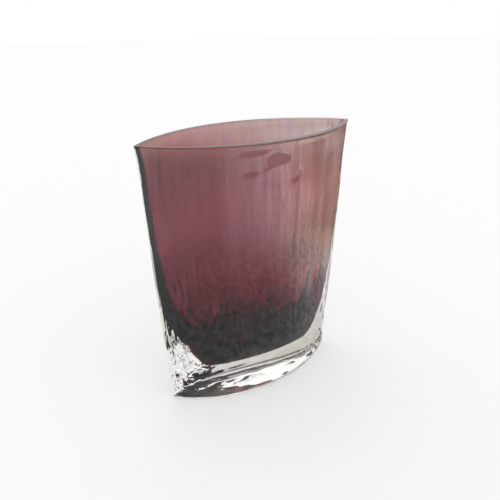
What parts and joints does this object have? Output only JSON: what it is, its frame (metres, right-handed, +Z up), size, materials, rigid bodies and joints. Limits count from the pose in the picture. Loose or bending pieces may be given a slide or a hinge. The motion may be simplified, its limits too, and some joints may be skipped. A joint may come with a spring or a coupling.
{
  "type": "glass vase",
  "caption": "Heavy cased glass vase with a leaf-shaped plan, open at the top: a thin amethyst cup fused inside a thick colourless casing with a solid clear base.",
  "frame": {"origin": "middle of the ground foot, on the table", "axes": "+Z up to the mouth, X along the leaf from tip to tip, Y through the two flanks"},
  "size_m": [0.1026, 0.0468, 0.12],
  "materials": {
    "clear_glass": "fire-polished colourless glass with a faint grey-green cast, ground flat underneath",
    "amethyst_glass": "fire-polished transparent amethyst glass, deeper where it is thicker low in the cup"
  },
  "bodies": {
    "root": {"clear_casing": "clear_glass", "amethyst_lining": "amethyst_glass"}
  },
  "joints": []
}
